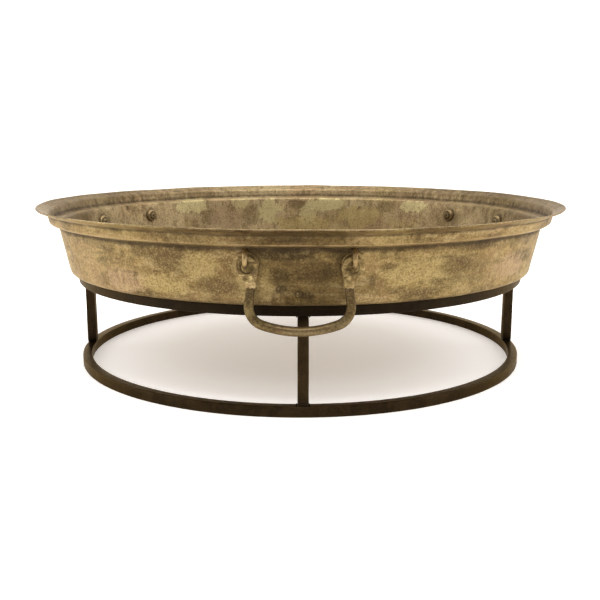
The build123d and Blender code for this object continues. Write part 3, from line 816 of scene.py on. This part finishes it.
print("paints")
brown, black = (0.105, 0.066, 0.026), (0.040, 0.025, 0.010)
khaki, moss, rose = (0.400, 0.300, 0.118), (0.540, 0.455, 0.225), (0.370, 0.250, 0.150)
sheetPatches = [          # colour, middle and reach in mm, share: outside from left to right, then inside
    (rose, (-316, -398, 228), (60, 60, 26), 0.6), (khaki, (-236, -450, 232), (60, 60, 18), 0.6),
    (brown, (-262, -451, 288), (52, 52, 12), 0.7), (brown, (-214, -470, 276), (44, 44, 20), 0.7),
    (khaki, (-172, -486, 266), (34, 34, 30), 0.5), (brown, (-140, -488, 236), (44, 30, 17), 0.8),
    (khaki, (-78, -504, 246), (34, 30, 40), 0.45), (black, (-26, -520, 294), (50, 30, 12), 0.75),
    (black, (-31, -508, 233), (9, 20, 7), 0.8), (black, (-33, -512, 254), (18, 20, 15), 0.5),
    (black, (10, -506, 222), (16, 20, 8), 0.7), (black, (-2, -507, 225), (9, 20, 8), 0.7),
    (brown, (34, -512, 262), (30, 20, 24), 0.5), (black, (-20, -546, 321), (46, 20, 5), 0.5),
    (black, (122, -510, 240), (10, 20, 20), 0.6), (brown, (150, -493, 268), (13, 20, 11), 0.7),
    (khaki, (206, -471, 262), (70, 50, 32), 0.55), (brown, (279, -434, 263), (44, 44, 18), 0.65),
    (brown, (318, -414, 294), (60, 60, 10), 0.7), (rose, (404, -316, 246), (60, 70, 28), 0.6),
    (moss, (-301, 423, 296), (62, 50, 24), 0.75), (moss, (-82, 507, 268), (46, 30, 42), 0.75),
    (brown, (-140, 495, 262), (26, 30, 34), 0.5), (brown, (-246, 450, 262), (24, 30, 22), 0.5),
    (brown, (120, 500, 262), (22, 30, 34), 0.45), (brown, (236, 460, 290), (30, 30, 18), 0.5),
    (moss, (20, 512, 262), (22, 30, 26), 0.6), (rose, (-50, 512, 250), (20, 30, 24), 0.6),
    (rose, (-210, 468, 254), (50, 40, 26), 0.5), (moss, (-169, 489, 296), (34, 30, 16), 0.6),
    (khaki, (6, 507, 236), (90, 30, 22), 0.6), (moss, (77, 510, 290), (56, 30, 18), 0.75),
    (brown, (-14, 516, 292), (26, 30, 16), 0.6), (khaki, (169, 484, 262), (70, 40, 36), 0.6),
    (moss, (309, 414, 292), (44, 44, 16), 0.7), (brown, (384, 340, 268), (60, 60, 26), 0.5),
]
for azimuth in (120, -120):
    for side in (-1, 1):          # dark rings round the washers inside: dirt and painted contact shadow
        spot = atAzimuth(np.array([510.0, side * lug["offset"], legHeight]), azimuth)
        sheetPatches.append((black, tuple(spot), (21, 21, 21), 0.6))
sheetPaint = bronzePaint("agedBronzeSheet", patches=sheetPatches)
handlePaint = bronzePaint("agedBronzeHandle", light=0.58, seed=3.1, hammered=0.7)
eyePaint = bronzePaint("rubbedBronzeEye", light=1.15, seed=7.7, hammered=1.9, mottled=1.6)
standPaint = ironPaint("brownIron")
gratePaint = ironPaint("burntIron", (0.050, 0.042, 0.036), 0.7, 0.62, 0.45)

print("bowl")
makeBowl(sheetPaint)
azimuths = {"front": 0.0, "rear_right": 120.0, "rear_left": -120.0}

print("lugs and handles")
for number, (name, azimuth) in enumerate(azimuths.items()):
    for word, side in (("left", -1), ("right", 1)):
        seed = number * 2 + (side + 1) // 2
        makePiece(f"hook_{name}_{word}", lugParts(azimuth, side, seed), [eyePaint, sheetPaint], "bowl",
                  [f"lug_{name}_{word}"])
        makePiece(f"eye_{name}_{word}", [eyePart(azimuth, side, seed)], [eyePaint], f"handle_{name}",
                  [f"handle_eye_{name}_{word}"])
    plates = [discPart(azimuth, side, lug["plate"], True, number + side) for side in (-1, 1)]
    makePiece(f"plates_{name}", plates, [sheetPaint], "bowl", [f"lug_plates_{name}"])
    washers = [discPart(azimuth, side, lug["washer"], False, number + side * 2) for side in (-1, 1)]
    makePiece(f"washers_{name}", washers, [sheetPaint], "bowl", [f"lug_washers_{name}"])
    makePiece(f"rod_{name}", [rodPart(azimuth, number)], [handlePaint], f"handle_{name}",
              [f"handle_rod_{name}"])

print("stand")
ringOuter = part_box("stand_top_ring")[1][0] / mm
topLow, topHigh = (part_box("stand_top_ring")[k][2] / mm for k in (0, 1))
lowLow, lowHigh = (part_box("stand_bottom_ring")[k][2] / mm for k in (0, 1))
topRing = ringPart(ringOuter, topLow, topHigh, stand["bar"], stand["round"], 70, front_shade_share=0.75)
lowRing = ringPart(ringOuter, lowLow, lowHigh, stand["bar"], stand["round"], 75)
makePiece("ringTop", [topRing], [standPaint], "stand", ["stand_top_ring"])
makePiece("ringBottom", [lowRing], [standPaint], "stand", ["stand_bottom_ring"])
legAzimuths = {"front": 0, "right": 90, "back": 180, "left": 270}
for k, (name, azimuth) in enumerate(legAzimuths.items()):
    upright = legPart(azimuth, lowHigh, topLow, ringOuter, 80 + k)
    makePiece(f"upright_{name}", [upright], [standPaint], "stand", [f"leg_{name}"])
corners = [(azimuth, side) for azimuth in legAzimuths.values() for side in (-1, 1)]
lowBeads = [weldPart(a, side, lowHigh, 1, ringOuter, 90 + a + side) for a, side in corners]
topBeads = [weldPart(a, side, topLow, -1, ringOuter, 190 + a + side) for a, side in corners]
makePiece("beadsLow", lowBeads, [standPaint], "stand", ["weld_beads_bottom"])
makePiece("beadsTop", topBeads, [standPaint], "stand", ["weld_beads_top"])

print("grate")
grateLow = grate["low"] + grate["foot"]
bar = grate["bar"]
grateRing = ringPart(grate["radius"], grateLow, grateLow + bar, bar, 1.6, 110, 0.4, 256)
makePiece("grateRing", [grateRing], [gratePaint], "grate", ["grate_ring"])
bars = []
for k in range(-5, 6):            # each bar reaches 1.5 mm into the ring
    x, z = k * grate["pitch"], grateLow + bar / 2
    reach = math.sqrt((grate["radius"] - bar) ** 2 - (abs(x) + bar / 2) ** 2) + 1.5
    points, marks = barPart((x, -reach, z), (x, reach, z), bar, bar, 1, 1.5, 120 + k)
    bars.append(gridPart(points * mm, marks=marks))
makePiece("grateBars", bars, [gratePaint], "grate", ["grate_bars"])
crossBars = []
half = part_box("grate_cross_bars")[1][0] / mm - 0.2
for side in (-1, 1):
    y, z = side * grate["cross"], grateLow - grate["crossDrop"]
    points, marks = barPart((-half, y, z), (half, y, z), *grate["crossBar"], 0, 1.2, 140 + side)
    crossBars.append(gridPart(points * mm, marks=marks))
makePiece("grateCross", crossBars, [gratePaint], "grate", ["grate_cross_bars"])
makePiece("grateFeet", [footPart(q) for q in range(4)], [gratePaint], "grate", ["grate_feet"])
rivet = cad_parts["wall_rivet"].data
rivet.materials.clear()
rivet.materials.append(sheetPaint)

print("studio")


# pale table glowing like a light table, its glow mixed to a dimmer one by an ellipsoid under the bowl: a
# painted shadow
def floorPaint():
    p = Paint("paleFloor")
    shade = p.noise(3, 3, 0.5)
    colour = p.mix(shade, (0.86, 0.85, 0.84), (0.88, 0.87, 0.86))
    # the ellipsoid under the bowl where the glow is dimmer: a painted shadow
    under = p.spot((-20, 30, 0), (420, 380, 300), shade, 0.0, 0.35)
    glow_with_painted_shadow = p.mix(under, (1.0, 0.96, 0.92), (0.64, 0.59, 0.54))
    return p.surface({"Base Color": colour, "Roughness": 0.55 + shade * 0.1,
                      "Emission Color": glow_with_painted_shadow, "Emission Strength": 0.47})


floorMesh = bpy.data.meshes.new("floor")
floorMesh.from_pydata([(-30, -30, 0), (30, -30, 0), (30, 60, 0), (-30, 60, 0)], [], [(0, 1, 2, 3)])
floorMesh.materials.append(floorPaint())
floor = bpy.data.objects.new("floor", floorMesh)
bpy.context.scene.collection.objects.link(floor)

scene = bpy.context.scene
world = bpy.data.worlds.new("studioWhite")
world.use_nodes = True
sky = world.node_tree
background = sky.nodes["Background"]
background.inputs["Color"].default_value = (1.0, 0.98, 0.955, 1)


# start below low, end above high, smooth between
def skyStep(value, low, high, start, end):
    node = sky.nodes.new("ShaderNodeMapRange")
    node.interpolation_type = "SMOOTHSTEP"
    for key, number in (("From Min", low), ("From Max", high), ("To Min", start), ("To Max", end)):
        node.inputs[key].default_value = number
    sky.links.new(value, node.inputs["Value"])
    return Wire(sky, node.outputs[0])


# wall of light all round, strongest low at the sides and back, dim behind the camera
skyWay = sky.nodes.new("ShaderNodeSeparateXYZ")
sky.links.new(sky.nodes.new("ShaderNodeTexCoord").outputs["Generated"], skyWay.inputs[0])
fromFront = skyStep(skyWay.outputs["Y"], -0.80, 0.15, 0.05, 1.0)
skyLight = fromFront * skyStep(skyWay.outputs["Z"], 0.05, 0.7, 2.3, 1.0)
seen = Wire(sky, sky.nodes.new("ShaderNodeLightPath").outputs["Is Camera Ray"])
brighter = skyLight.sign("MAXIMUM", skyLight, seen * 1.2)     # the backdrop itself stays white all round
sky.links.new(brighter.socket, background.inputs["Strength"])
scene.world = world
scene.view_settings.view_transform = "Standard"


# soft area lamp looking at a point: tilt atan(level / down), turn atan(y / x) less a quarter turn
def softLamp(name, place, target, size, power):
    data = bpy.data.lights.new(name, "AREA")
    data.shape = "RECTANGLE"
    data.size, data.size_y = size
    data.energy = power
    lamp = bpy.data.objects.new(name, data)
    lamp.location = place
    way = np.array(target, float) - np.array(place, float)
    tilt = math.atan2(math.hypot(way[0], way[1]), -way[2])
    lamp.rotation_euler = (tilt, 0, math.atan2(way[1], way[0]) - math.pi / 2)
    scene.collection.objects.link(lamp)


lamps = {          # place, target and size in metres, watts
    "overhead": ((0.0, 0.2, 3.2), (0, 0, 0.2), (3.0, 2.0), 60),
    "highFront": ((0.0, -1.9, 3.0), (0, 0.45, 0.25), (1.6, 0.8), 58),
    "leftBank": ((-3.0, -0.5, 1.5), (0, 0, 0.25), (1.6, 2.2), 16),
    "rightBank": ((3.0, -0.4, 1.5), (0, 0, 0.25), (1.6, 2.2), 13),
}
for name, setup in lamps.items():
    softLamp(name, *setup)

view = {"place": (0, -1.9067, 0.4930), "tilt": 78.773, "lens": 50.90}          # metres, degrees, mm
camera = bpy.data.objects.new("camera", bpy.data.cameras.new("camera"))
camera.location = view["place"]
camera.rotation_euler = (math.radians(view["tilt"]), 0, 0)
camera.data.sensor_width = 36
camera.data.lens = view["lens"]
camera.data.clip_end = 200
scene.collection.objects.link(camera)
scene.camera = camera
